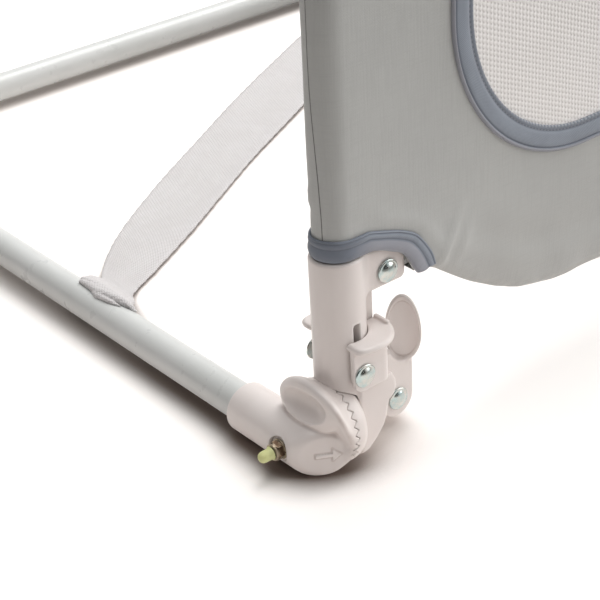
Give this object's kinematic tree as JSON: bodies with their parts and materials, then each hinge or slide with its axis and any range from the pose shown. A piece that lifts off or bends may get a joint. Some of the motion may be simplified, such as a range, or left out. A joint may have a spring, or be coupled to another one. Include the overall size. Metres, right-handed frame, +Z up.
{
  "type": "folding bed guard rail",
  "caption": "Tube-framed fabric bed guard panel with a mesh window, lockable corner hinges and a flat under-mattress base with webbing straps.",
  "frame": {"origin": "middle of the footprint on the floor plane, with the panel upright and the base flat", "axes": "+X along the rail, +Y from the room side to the bed, +Z up"},
  "size_m": [1.2228, 0.5382, 0.4489],
  "materials": {
    "painted_steel": "light grey paint, satin",
    "white_plastic": "warm white moulded plastic, satin gloss",
    "zinc_rivet": "bright zinc",
    "bronze_nut": "dark bronze tint",
    "pale_cap": "pale yellow-green",
    "grey_taffeta": "fine plain weave with a satin sheen",
    "blue_binding": "blue-grey bias tape, stitched",
    "white_mesh": "knitted mesh",
    "white_webbing": "woven webbing"
  },
  "bodies": {
    "base": {"arm_housing_left": "white_plastic", "arm_housing_right": "white_plastic", "arm_bolt_left": "bronze_nut", "arm_bolt_right": "bronze_nut", "arm_nut_left": "bronze_nut", "arm_nut_right": "bronze_nut", "bolt_cap_left": "pale_cap", "bolt_cap_right": "pale_cap", "pivot_bolt_left": "bronze_nut", "pivot_bolt_right": "bronze_nut", "base_tube_left": "painted_steel", "base_tube_right": "painted_steel", "brace_strap_left": "white_webbing", "brace_strap_right": "white_webbing", "strap_screw_left": "zinc_rivet", "strap_screw_right": "zinc_rivet", "sleeve_screw_left": "zinc_rivet", "sleeve_screw_right": "zinc_rivet", "rear_sleeve": "white_plastic"},
    "hinge_cores": {"hinge_ring_left": "white_plastic", "hinge_ring_right": "white_plastic"},
    "panel": {"corner_bracket_left": "white_plastic", "corner_bracket_right": "white_plastic", "wing_rivet_left": "zinc_rivet", "wing_rivet_right": "zinc_rivet", "lever_rivet_left": "zinc_rivet", "lever_rivet_right": "zinc_rivet", "corner_tube_left": "painted_steel", "corner_tube_right": "painted_steel", "top_rail_joiner_left": "painted_steel", "top_rail_joiner_right": "painted_steel", "hem_band_left": "blue_binding", "hem_band_right": "blue_binding", "top_rail_tube": "painted_steel", "lower_rail_tube": "painted_steel", "fabric_cover": "grey_taffeta", "window_mesh_front": "white_mesh", "window_mesh_back": "white_mesh", "window_binding_front": "blue_binding", "window_binding_back": "blue_binding"},
    "slider_left": {"latch_slider_left": "white_plastic", "slider_rivet_left": "zinc_rivet", "lock_plunger_left": "zinc_rivet"},
    "slider_right": {"latch_slider_right": "white_plastic", "slider_rivet_right": "zinc_rivet", "lock_plunger_right": "zinc_rivet"},
    "lever_left": {"release_lever_left": "white_plastic"},
    "lever_right": {"release_lever_right": "white_plastic"}
  },
  "joints": [
    {"name": "base_fold", "type": "hinge", "parent": "base", "child": "hinge_cores", "pos_m": [0, -0.24385, 0.022], "axis": [1, 0, 0], "range_deg": [-72, 0]},
    {"name": "panel_drop", "type": "hinge", "parent": "hinge_cores", "child": "panel", "pos_m": [0, -0.24385, 0.022], "axis": [1, 0, 0], "range_deg": [0, 180]},
    {"name": "slider_lift_left", "type": "slide", "parent": "panel", "child": "slider_left", "axis": [0, 0, 1], "range_m": [0, 0.016], "stiffness_N_per_m": 400, "springref_m": -0.012},
    {"name": "lever_press_left", "type": "hinge", "parent": "panel", "child": "lever_left", "pos_m": [-0.5316, -0.24385, 0.0152], "axis": [0, 1, 0], "range_deg": [0, 12], "stiffness_Nm_per_rad": 0.3, "springref_deg": -17.19},
    {"name": "slider_lift_right", "type": "slide", "parent": "panel", "child": "slider_right", "axis": [0, 0, 1], "range_m": [0, 0.016], "stiffness_N_per_m": 400, "springref_m": -0.012},
    {"name": "lever_press_right", "type": "hinge", "parent": "panel", "child": "lever_right", "pos_m": [0.5316, -0.24385, 0.0152], "axis": [0, -1, 0], "range_deg": [0, 12], "stiffness_Nm_per_rad": 0.3, "springref_deg": -17.19}
  ]
}
